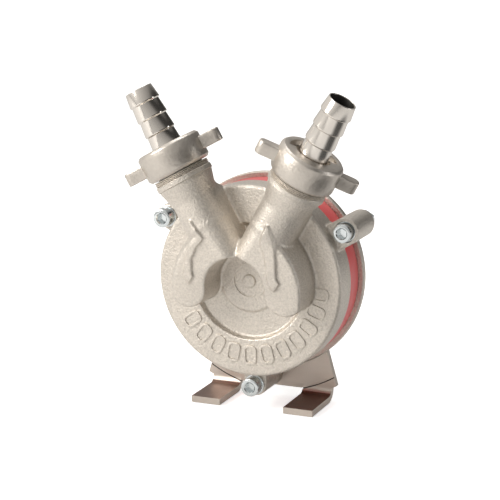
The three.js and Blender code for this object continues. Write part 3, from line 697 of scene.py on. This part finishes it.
combine(bracket, [foot(1), foot(-1)])
SHEET_EDGE = 0.8
soft_edges(bracket, SHEET_EDGE, segments=3, degrees=40)
SCRIBE_R = 68.0
SCRIBE_HALF, SCRIBE_DEEP = 0.3, 0.6
section = oblong(SCRIBE_R - SCRIBE_HALF, SCRIBE_R + SCRIBE_HALF,
                 BRACKET_FRONT - 1, BRACKET_FRONT + SCRIBE_DEEP)
scribe = turned("scribed line", section, steps=180, ring=True)
holes = [scribe, rod("housing hole", HOUSING_R + 0.6, BRACKET_FRONT - 1, BRACKET_REAR + 1, steps=96),
         rod("clamp hole", M6_HOLE, BRACKET_FRONT - 1, BRACKET_REAR + 1, polar(CLAMP_CIRCLE, 270), 40)]
holes += [rod("screw hole", M5_HOLE, BRACKET_FRONT - 1, BRACKET_REAR + 1, polar(BRACKET_CIRCLE, angle), 40)
          for angle in BRACKET_SCREWS.values()]
combine(bracket, holes, "DIFFERENCE")
finished(bracket, ["mounting_bracket"], "pump_body", "foot_sheet")

# %% [markdown]
# All screws are socket cap screws in two sizes. A screw is modelled at the shaft's axis, with a
# hexagon socket, a chamfered and knurled head and a thread of rings, and copied into place. A true
# helix would cost many faces, and rings look the same at this size.

# %% A cap screw at the shaft axis
M6 = {"r": 3.0, "head_r": 5.0, "head_h": 6.0, "flats": 5.0, "deep": 3.2, "pitch": 1.0}
M5 = {"r": 2.5, "head_r": 4.25, "head_h": 5.0, "flats": 4.0, "deep": 2.6, "pitch": 0.8}
HEAD_EDGE = {"flat": 0.7, "in": 0.2, "back": 0.25, "side": 0.8}     # the head's rounded front edge
SCREW_END = 0.6                         # the tip's chamfer
RIM_CONE = {"front": -0.2, "wider": 0.45, "deep": 3.2}              # breaks the socket's edge
KNURL = {"count": 30, "r": 0.22, "front": 1.2, "rear": 0.6, "out": 0.08}


def cap_screw(size, length, threaded):
    """The head's front is at y = 0 and the shank runs back to y = length."""
    r, head_r, head_h, pitch = size["r"], size["head_r"], size["head_h"], size["pitch"]
    side_r = head_r - HEAD_EDGE["in"]
    head = [(0, 0), (head_r - HEAD_EDGE["flat"], 0), (side_r, HEAD_EDGE["back"]),
            (head_r, HEAD_EDGE["side"]), (head_r, head_h - HEAD_EDGE["in"]), (side_r, head_h), (r, head_h)]
    y = length - threaded
    shank = [(r, y)]
    while y + pitch < length - SCREW_END:
        shank += [(r - pitch / 2, y + pitch / 2), (r, y + pitch)]
        y += pitch
    screw = turned("cap screw", head + shank + [(r - SCREW_END, length), (0, length)], steps=60)
    corner, front = size["flats"] / math.sqrt(3), RIM_CONE["front"]
    socket = rod("socket", corner, -1, size["deep"], steps=6)
    cone = turned("socket rim", [(0, front), (corner + RIM_CONE["wider"], front), (0, RIM_CONE["deep"])],
                  steps=48)
    return combine(screw, [socket, cone], "DIFFERENCE")


def knurled(screw, size):
    groove = rod("knurl", KNURL["r"], KNURL["front"], size["head_h"] - KNURL["rear"],
                 (size["head_r"] + KNURL["out"], 0), 6)
    grooves = []
    for i in range(KNURL["count"]):
        grooves.append(about_shaft(copy_of(groove, "knurl copy"), 360 * i / KNURL["count"]))
    discard(groove)
    alone(grooves[0])
    for other_groove in grooves[1:]:
        other_groove.select_set(True)
    bpy.ops.object.join()
    return combine(screw, [grooves[0]], "DIFFERENCE")


# %% Washers and nuts at the shaft axis
WASHER_EDGE = 0.22


def flat_washer(outer_r, hole_r, thick):
    section = eased(oblong(hole_r, outer_r, 0, thick), WASHER_EDGE, steps=2)
    return turned("washer", section, steps=60, ring=True)


def hex_nut(flats, high):
    corner = flats / math.sqrt(3)
    nut = rod("nut", corner, 0, high, steps=6)
    flat_r, past, chamfer = flats / 2 - 0.1, 0.01, 0.75
    limit = turned("nut chamfer", [(0, -past), (flat_r, -past), (corner + 0.1, chamfer),
                                   (corner + 0.1, high - chamfer), (flat_r, high + past), (0, high + past)])
    combine(nut, [limit], "INTERSECT")
    return combine(nut, [rod("nut hole", M6_HOLE, -1, high + 1, steps=40)], "DIFFERENCE")


def fastener(node_name, model, x, y, z):
    """A copy of a screw, washer or nut, moved from the shaft's axis to its place."""
    twin = moved(copy_of(model, "fastener"), Matrix.Translation((x * MM, y * MM, z * MM)))
    finished(twin, [node_name], "pump_body", "zinc")


# %% Clamp screws with washers and nuts
THREADED = {"M6": 16, "M5": 5}
M6_WASHER = {"r": 5.6, "thick": 1.2}
M6_NUT = {"flats": 10.0, "high": 5.0}
SCREW_PAST_NUT = 2
HEAD_Y = SEAT_Y - GAP - M6_WASHER["thick"] - GAP - M6["head_h"]
EXTRA = {"upper_right": 0.0, "upper_left": 0.0, "lower": GAP + SHEET}
first_washer = flat_washer(M6_WASHER["r"], M6_HOLE, M6_WASHER["thick"])
first_nut = hex_nut(M6_NUT["flats"], M6_NUT["high"])
first_screws = {}
for name, (angle, _, _) in CLAMPS.items():
    x, z = polar(CLAMP_CIRCLE, angle)
    behind = PLATE_REAR + EXTRA[name] + GAP
    nut_y = behind + M6_WASHER["thick"] + GAP
    end = nut_y + M6_NUT["high"] + SCREW_PAST_NUT
    if end not in first_screws:
        first_screws[end] = knurled(cap_screw(M6, end - HEAD_Y, THREADED["M6"]), M6)
    fastener(f"{name}_clamp_screw", first_screws[end], x, HEAD_Y, z)
    fastener(f"{name}_clamp_washer", first_washer, x, HEAD_Y + M6["head_h"] + GAP, z)
    fastener(f"{name}_rear_washer", first_washer, x, behind, z)
    fastener(f"{name}_clamp_nut", first_nut, x, nut_y, z)
discard(first_washer, first_nut, *first_screws.values())

# %% Bracket screws, heads to the back
M5_WASHER = {"r": 5.0, "thick": 1.0}
SCREW_TIP = PLATE_FRONT + 1.5
washer_y = BRACKET_REAR + GAP
head_y = washer_y + M5_WASHER["thick"] + GAP + M5["head_h"]
first_washer = flat_washer(M5_WASHER["r"], M5_HOLE, M5_WASHER["thick"])
first_screw = about_shaft(knurled(cap_screw(M5, head_y - SCREW_TIP, THREADED["M5"]), M5), 180, "Z")
for name, angle in BRACKET_SCREWS.items():
    x, z = polar(BRACKET_CIRCLE, angle)
    fastener(f"{name}_bracket_screw", first_screw, x, head_y, z)
    fastener(f"{name}_bracket_washer", first_washer, x, washer_y, z)
discard(first_washer, first_screw)

# %% [markdown]
# A wing nut holds each hose tail. The nut body is turned, the wings are a bar with rounded ends
# that goes through it, and half of the top lip is cut away so that the nut can be slipped over the
# tail's flange. The bar's edges are beveled before it is joined. Both nuts are copies of one.

# %% Wing nut on the upright axis
NUT = {"r": 17.4, "top": 14.9, "thread": 13.5, "mouth": 0.6, "lip": 11.8, "hole": 9.8, "slot": 13.1,
       "edge": 1.4, "middle": 0.25, "soft": 0.3}
WING = {"tip": 27.8, "wide": 6.5, "low": 4.0, "high": 11.0, "soft": 0.7}
WING_TURN = {"left": 14, "right": 26}


def wing_nut():
    r, edge, top = NUT["r"], NUT["edge"], NUT["top"]
    middle_r = r - NUT["middle"]
    shell = [(0, 0), (r - edge, 0), (middle_r, edge * 0.8), (r, edge * 1.2), (r, top - edge * 1.2),
             (middle_r, top - edge * 0.8), (r - edge, top), (0, top)]
    nut = turned("wing nut", shell, steps=96)
    arm, half = WING["tip"] - WING["wide"] / 2, WING["wide"] / 2
    bar = arc((arm, 0), half, -90, 90, 14) + arc((-arm, 0), half, 90, 270, 14)
    wings = soft_edges(plate("wings", bar, WING["low"], WING["high"]), WING["soft"], segments=3)
    combine(nut, [wings])
    mouth_r = NUT["thread"] + NUT["mouth"]
    section = [(0, -1), (mouth_r, -1), (mouth_r, 0), (NUT["thread"], NUT["mouth"]),
               (NUT["thread"], NUT["lip"]), (0, NUT["lip"])]
    cavity = turned("nut thread", section, steps=96)
    hole = rod("tail hole", NUT["hole"], NUT["lip"] - 1, top + 1, steps=96)
    slot = rod("slot", NUT["slot"], NUT["lip"] - 1, top + 1, steps=96)
    keep = plate("slot half", oblong(-20, 20, -20, 0), NUT["lip"] - 2, top + 2)
    combine(slot, [keep], "INTERSECT")
    combine(nut, [cavity, hole, slot], "DIFFERENCE")
    return soft_edges(nut, NUT["soft"], degrees=40)


first_nut = wing_nut()
for side_name in SIDES:
    nut = about_shaft(copy_of(first_nut, f"{side_name} wing nut"), WING_TURN[side_name])
    finished(on_port(nut, side_name), [f"{side_name}_wing_nut"], f"{side_name}_nut", "casting")
discard(first_nut)

# %% [markdown]
# The hose tail is a turned tube with barbs. Its whole section, bore included, is one closed line,
# so the spin gives inside and outside at once. The barbs' edges are slightly rounded, because a
# polished edge catches the light.

# %% Hose tails
TAIL = {"flange_r": 13.0, "flange_low": 9.3, "flange_top": 11.5, "stem_r": 8.5, "tip": 46.6,
        "tip_r": 7.36, "ridge": 8.35, "root": 7.55, "bore": 6.6, "first": 7.5, "pitch": 8.5,
        "half": 0.5, "lean": 0.05, "edge": 0.25}


def tail_section():
    barbs = [(TAIL["tip_r"], TAIL["tip"])]
    for i in range(3):
        base = TAIL["tip"] - TAIL["first"] - i * TAIL["pitch"]
        barbs += [(TAIL["ridge"], base + TAIL["half"]), (TAIL["ridge"] - TAIL["lean"], base),
                  (TAIL["root"], base - TAIL["half"])]
    section = [(TAIL["bore"], TAIL["flange_low"]), (TAIL["flange_r"], TAIL["flange_low"]),
               (TAIL["flange_r"], TAIL["flange_top"]), (TAIL["stem_r"], TAIL["flange_top"])]
    section += barbs[::-1] + [(TAIL["bore"], TAIL["tip"])]
    return eased(section, TAIL["edge"], steps=3)


first_tail = turned("hose tail", tail_section(), steps=112, ring=True)
GASKET = {"inner": 8, "outer": 12.4, "low": 7.5, "top": 9.0}
GASKET_EDGE = 0.3
gasket = turned("tail gasket", eased(oblong(*GASKET.values()), GASKET_EDGE, steps=2), ring=True)
for side_name in SIDES:
    tail = on_port(copy_of(first_tail, f"{side_name} hose tail"), side_name)
    finished(tail, [f"{side_name}_hose_tail"], f"{side_name}_tail", "polished")
    seal = on_port(copy_of(gasket, f"{side_name} tail gasket"), side_name)
    finished(seal, [f"{side_name}_tail_gasket"], "pump_body", "rubber")
discard(first_tail, gasket)

# %% [markdown]
# The drive end shows the shaft, its key and the rear bearing with its circlip. The shaft is
# turned with chamfers and the two keyways are cut as square-ended boxes.

# %% Shaft and keys
SHAFT_R, SHAFT_FRONT, SHAFT_REAR = 6.0, 6.2, 92.0
KEYS = {"impeller_key": (12, 24), "drive_key": (75, 89)}
KEY = {"wide": 4, "low": 4, "top": 7.6, "edge": 0.25}
CLIP_GROOVE = {"front": 8.1, "rear": 9.3, "r": SHAFT_R - 0.8}
SHAFT_EDGE = {"front": 0.6, "rear": 1}
section = [(0, SHAFT_FRONT), (SHAFT_R - SHAFT_EDGE["front"], SHAFT_FRONT),
           (SHAFT_R, SHAFT_FRONT + SHAFT_EDGE["front"]), (SHAFT_R, CLIP_GROOVE["front"]),
           (CLIP_GROOVE["r"], CLIP_GROOVE["front"]), (CLIP_GROOVE["r"], CLIP_GROOVE["rear"]),
           (SHAFT_R, CLIP_GROOVE["rear"]), (SHAFT_R, SHAFT_REAR - SHAFT_EDGE["rear"]),
           (SHAFT_R - SHAFT_EDGE["rear"], SHAFT_REAR), (0, SHAFT_REAR)]
shaft = turned("drive shaft", section, steps=72)


def key_box(name, y0, y1, room, z0, z1):
    half = KEY["wide"] / 2 + room
    return plate(name, oblong(-half, half, z0, z1), y0 - room, y1 + room)


keyways = [key_box("keyway", *span, GAP, KEY["low"] - GAP, SHAFT_R + 2) for span in KEYS.values()]
combine(shaft, keyways, "DIFFERENCE")
finished(shaft, ["drive_shaft"], "rotor", "steel")
for node_name, span in KEYS.items():
    key = soft_edges(key_box("key", *span, 0, KEY["low"], KEY["top"]), KEY["edge"])
    finished(key, [node_name], "rotor", "steel")

# %% [markdown]
# Finishes. Every metal gets the same kind of material: a metallic shader whose colour and gloss
# drift a little over the surface, with a fine bump for the blasted skin of a casting. The patterns
# use object coordinates, so they stay put when a part moves.

# %% A drifting, grained finish
CLOUD_SCALE = 45                # one slow patch of colour and gloss is about 20 mm wide
NOISE_SPAN = (0.3, 0.7)         # nearly all of a noise texture's values lie between these
BUMP_HIGH = 0.4 * MM


def remapped(tree, source, before, after):
    """Adds a map range node that takes the source from the one span to the other."""
    node = tree.nodes.new("ShaderNodeMapRange")
    for key, value in zip(("From Min", "From Max", "To Min", "To Max"), (*before, *after)):
        node.inputs[key].default_value = value
    tree.links.new(source, node.inputs["Value"])
    return node.outputs["Result"]


def finish_material(name, colour, metallic, roughness, drift=0.05, grain=0.0, grain_scale=1400,
                    spread=0.05, coat=0.0, stretch=(1, 1, 1), speck=0.0):
    material = bpy.data.materials.new(name)
    material.use_nodes = True
    tree = material.node_tree
    nodes, links = tree.nodes, tree.links
    shader = nodes["Principled BSDF"]
    shader.inputs["Metallic"].default_value = metallic
    shader.inputs["Coat Weight"].default_value = coat
    place = nodes.new("ShaderNodeTexCoord")
    sized = nodes.new("ShaderNodeMapping")
    sized.inputs["Scale"].default_value = stretch
    links.new(place.outputs["Object"], sized.inputs["Vector"])
    cloud = nodes.new("ShaderNodeTexNoise")
    cloud.inputs["Scale"].default_value = CLOUD_SCALE
    cloud.inputs["Detail"].default_value = 6
    links.new(sized.outputs["Vector"], cloud.inputs["Vector"])
    tint = nodes.new("ShaderNodeValToRGB")
    for stop, position, factor in zip(tint.color_ramp.elements, NOISE_SPAN, (1 - drift, 1 + drift)):
        stop.position = position
        stop.color = [min(1, part * factor) for part in colour] + [1]
    links.new(cloud.outputs["Fac"], tint.inputs["Fac"])
    gloss = remapped(tree, cloud.outputs["Fac"], NOISE_SPAN, (roughness - spread, roughness + spread))
    links.new(gloss, shader.inputs["Roughness"])
    grit = nodes.new("ShaderNodeTexNoise")
    grit.inputs["Scale"].default_value = grain_scale
    grit.inputs["Detail"].default_value = 3
    links.new(sized.outputs["Vector"], grit.inputs["Vector"])
    speckle = remapped(tree, grit.outputs["Fac"], NOISE_SPAN, (1 - speck, 1 + speck))
    shade = nodes.new("ShaderNodeVectorMath")
    shade.operation = "SCALE"
    links.new(tint.outputs["Color"], shade.inputs[0])
    links.new(speckle, shade.inputs["Scale"])
    links.new(shade.outputs["Vector"], shader.inputs["Base Color"])
    if grain:
        bump = nodes.new("ShaderNodeBump")
        bump.inputs["Strength"].default_value = grain
        bump.inputs["Distance"].default_value = BUMP_HIGH
        links.new(grit.outputs["Fac"], bump.inputs["Height"])
        links.new(bump.outputs["Normal"], shader.inputs["Normal"])
    return material


# %% The pump's finishes
FINISHES = {
    "casting": finish_material("blasted nickel on bronze casting", (0.67, 0.62, 0.555), 0.8, 0.42,
                               grain=1.0, grain_scale=1000, speck=0.12),
    "polished": finish_material("polished nickel", (0.76, 0.715, 0.66), 1.0, 0.15, drift=0.02, spread=0.03,
                                grain=0.03, grain_scale=700),
    "tumbled": finish_material("tumbled nickel casting", (0.60, 0.555, 0.50), 0.9, 0.38, drift=0.04,
                               grain=0.45, grain_scale=600, speck=0.04),
    "zinc": finish_material("bright zinc plate", (0.72, 0.76, 0.77), 1.0, 0.2, drift=0.04, spread=0.06,
                            grain=0.05),
    "foot_sheet": finish_material("satin nickel sheet", (0.64, 0.575, 0.515), 1.0, 0.46, grain=0.06,
                                  grain_scale=500, stretch=(1, 1, 4)),
    "steel": finish_material("ground stainless steel", (0.62, 0.62, 0.62), 1.0, 0.28, drift=0.04, grain=0.05,
                             stretch=(1, 6, 1)),
    "bronze": finish_material("machined bronze", (0.58, 0.38, 0.16), 1.0, 0.35, drift=0.06, grain=0.05),
    "red_ring": finish_material("soft red ring", (0.92, 0.15, 0.155), 0.0, 0.38, spread=0.04,
                                grain=0.05, coat=0.1),
    "rubber": finish_material("black rubber", (0.022, 0.021, 0.02), 0.0, 0.6, drift=0.1, grain=0.1),
    "ceramic": finish_material("white ceramic", (0.82, 0.79, 0.74), 0.0, 0.2, drift=0.02),
}
slots = {row["node"]: row["material_slot"] for row in frame["record"]["subparts"]}
for name, node in frame["nodes"].items():
    node.data.materials.clear()
    node.data.materials.append(FINISHES[slots[name]])
for name, slot_name in finish_of.items():
    piece = bpy.data.objects[name]
    piece.data.materials.clear()
    piece.data.materials.append(FINISHES[slot_name])
for side_name in SIDES:
    bpy.data.objects[f"finished_{side_name}_wing_nut"].data.materials[0] = FINISHES["tumbled"]
print("finishes", len(FINISHES))

# %% Painted shade in the hose tails' bores
# Near-black painted shade for the inside of the tails' bores; the bracket's scribed line below uses it too
painted_shade_dark = finish_material("unpolished bore", (0.03, 0.027, 0.024), 0.4, 0.5, drift=0.1)
for side_name in SIDES:
    tail = bpy.data.objects[f"finished_{side_name}_hose_tail"]
    tail.data.materials.append(painted_shade_dark)
    along = Vector(joints[f"{side_name}_nut_turn"]["axis"]).normalized()
    base = PORT[side_name]
    bore_faces = 0
    for face in tail.data.polygons:
        spoke = face.center - base
        spoke = spoke - along * spoke.dot(along)
        if spoke.length < (TAIL["bore"] + 0.02) * MM and face.normal.dot(spoke) < 0:
            face.material_index = 1
            bore_faces += 1
    print(tail.name, "bore faces", bore_faces)

# %% [markdown]
# Two parts of the bracket have a finish of their own: the tops of the feet carry a painted dark reflection, and
# the scribed line carries painted shade. Each face picks its material slot by where it is and which way it looks.

# %% Painted reflection on the feet's tops and painted shade in the scribed line
# A painted dark reflection for the tops of the feet: the dark brown of the drum's shaded underside, mirrored in
# the sheet
painted_reflection_tops = finish_material("browned sheet", (0.21, 0.14, 0.11), 0.9, 0.36, drift=0.12, grain=0.1,
                        stretch=(1, 4, 1))
bracket.data.materials.append(painted_reflection_tops)
bracket.data.materials.append(painted_shade_dark)
# Faces that look up and lie low on the feet take the painted reflection
REFLECTION_PAINT_TOP = FOOT["bottom"] + SHEET + 0.3 * FOOT["bend"]
painted_reflection_faces, line_faces = 0, 0
for face in bracket.data.polygons:
    x, y, z = (face.center - at(0, 0, 0)) / MM
    if face.normal.z > 0.6 and z < REFLECTION_PAINT_TOP:
        face.material_index = 1
        painted_reflection_faces += 1
    # The faces of the scribed groove get the painted shade
    in_line = abs(math.hypot(x, z) - SCRIBE_R) < SCRIBE_HALF + 0.02
    if in_line and BRACKET_FRONT + 0.02 < y < BRACKET_FRONT + SCRIBE_DEEP + 0.02:
        face.material_index = 2
        line_faces += 1
print("painted_reflection faces", painted_reflection_faces, "line faces", line_faces)

# %% [markdown]
# The stage is a plain pale floor under a white sky, one big soft lamp at the front left, a weaker
# one on the right and a strip above. A polished part only looks like metal when it has something
# dark to mirror. So the sky has dark bands and the floor a dark patch that the camera never sees
# directly, because a light path node keeps both white for camera rays.

# %% Floor and sky
CARD = (0.20, -0.08, 0)         # middle of the dark patch on the floor that only reflections see
BRIGHT_SIDE = (-0.80, -0.25, 0.55)
bpy.ops.mesh.primitive_plane_add(size=6, location=(0, 0, -0.0004))
floor = bpy.context.object
floor.name = "floor"
paper = bpy.data.materials.new("white paper")
paper.use_nodes = True
paper_shader = paper.node_tree.nodes["Principled BSDF"]
paper_shader.inputs["Roughness"].default_value = 0.9
paper_shader.inputs["Emission Color"].default_value = (1, 1, 1, 1)
paper_nodes, paper_links = paper.node_tree.nodes, paper.node_tree.links
seen = paper_nodes.new("ShaderNodeLightPath")
glow = remapped(paper.node_tree, seen.outputs["Is Camera Ray"], (0, 1), (0.05, 0.62))
paper_links.new(glow, paper_shader.inputs["Emission Strength"])
on_floor = paper_nodes.new("ShaderNodeTexCoord")
apart = paper_nodes.new("ShaderNodeVectorMath")
apart.operation = "DISTANCE"
apart.inputs[1].default_value = CARD
card_edge = remapped(paper.node_tree, apart.outputs["Value"], (0.07, 0.17), (0.03, 0.75))
tone = paper_nodes.new("ShaderNodeMix")
tone.data_type = "FLOAT"
tone.inputs["B"].default_value = 0.93
paper_links.new(on_floor.outputs["Object"], apart.inputs[0])
paper_links.new(card_edge, tone.inputs["A"])
paper_links.new(seen.outputs["Is Camera Ray"], tone.inputs["Factor"])
paper_links.new(tone.outputs["Result"], paper_shader.inputs["Base Color"])
floor.data.materials.append(paper)
world = bpy.data.worlds.new("studio")
bpy.context.scene.world = world
world.use_nodes = True
sky_nodes, sky_links = world.node_tree.nodes, world.node_tree.links
look = sky_nodes.new("ShaderNodeTexCoord")
facing = sky_nodes.new("ShaderNodeVectorMath")
facing.operation = "DOT_PRODUCT"
facing.inputs[1].default_value = BRIGHT_SIDE
fade = sky_nodes.new("ShaderNodeValToRGB")
# place between the dark and the bright side, and brightness
SKY = [(0.0, 0.35), (0.12, 0.25), (0.18, 0.02), (0.27, 0.02), (0.31, 0.22), (0.35, 0.03), (0.43, 0.05),
       (0.52, 0.32), (1.0, 0.84)]
while len(fade.color_ramp.elements) < len(SKY):
    fade.color_ramp.elements.new(0.5)
for stop, (position, bright) in zip(fade.color_ramp.elements, SKY):
    stop.position = position
    stop.color = (bright, bright * 0.975, bright * 0.94, 1)
straight = sky_nodes.new("ShaderNodeLightPath")
paper_sky = sky_nodes.new("ShaderNodeMix")
paper_sky.data_type = "RGBA"
paper_sky.inputs["B"].default_value = (1, 1, 1, 1)
sky_links.new(look.outputs["Generated"], facing.inputs[0])
sky_links.new(remapped(world.node_tree, facing.outputs["Value"], (-1.0, 0.8), (0, 1)), fade.inputs["Fac"])
sky_links.new(fade.outputs["Color"], paper_sky.inputs["A"])
sky_links.new(straight.outputs["Is Camera Ray"], paper_sky.inputs["Factor"])
sky_links.new(paper_sky.outputs["Result"], sky_nodes["Background"].inputs["Color"])
sky_nodes["Background"].inputs["Strength"].default_value = 1.0
bpy.context.scene.view_settings.view_transform = "Standard"


# %% Lamps
AIM = Vector((0, -0.01, 0.09))


def lamp(name, spot, size, power, colour=(1, 1, 1)):
    bpy.ops.object.light_add(type="AREA", location=spot)
    light = bpy.context.object
    light.name = name
    light.data.shape = "RECTANGLE"
    light.data.size, light.data.size_y = size
    light.data.energy = power
    light.data.color = colour
    light.rotation_euler = (AIM - Vector(spot)).to_track_quat("-Z", "Y").to_euler()
    return light


lamp("front left", (-0.75, -0.85, 0.75), (0.6, 0.6), 12, (1, 0.97, 0.93))
lamp("right", (1.0, 0.15, 0.3), (0.2, 0.6), 1.2)
lamp("above", (-0.1, 0.15, 1.1), (0.6, 0.4), 2.5)

# %% Camera
TARGET = Vector((-0.00311, -0.021375, 0.08577))
DISTANCE, AZIMUTH, ELEVATION = 0.8934, math.radians(22.66), math.radians(12.66)
direction = Vector((math.sin(AZIMUTH) * math.cos(ELEVATION), -math.cos(AZIMUTH) * math.cos(ELEVATION),
                    math.sin(ELEVATION)))
bpy.ops.object.camera_add(location=TARGET + direction * DISTANCE)
camera = bpy.context.object
camera.rotation_euler = (-direction).to_track_quat("-Z", "Y").to_euler()
camera.data.sensor_width = 36
camera.data.lens = 122.0
bpy.context.scene.camera = camera
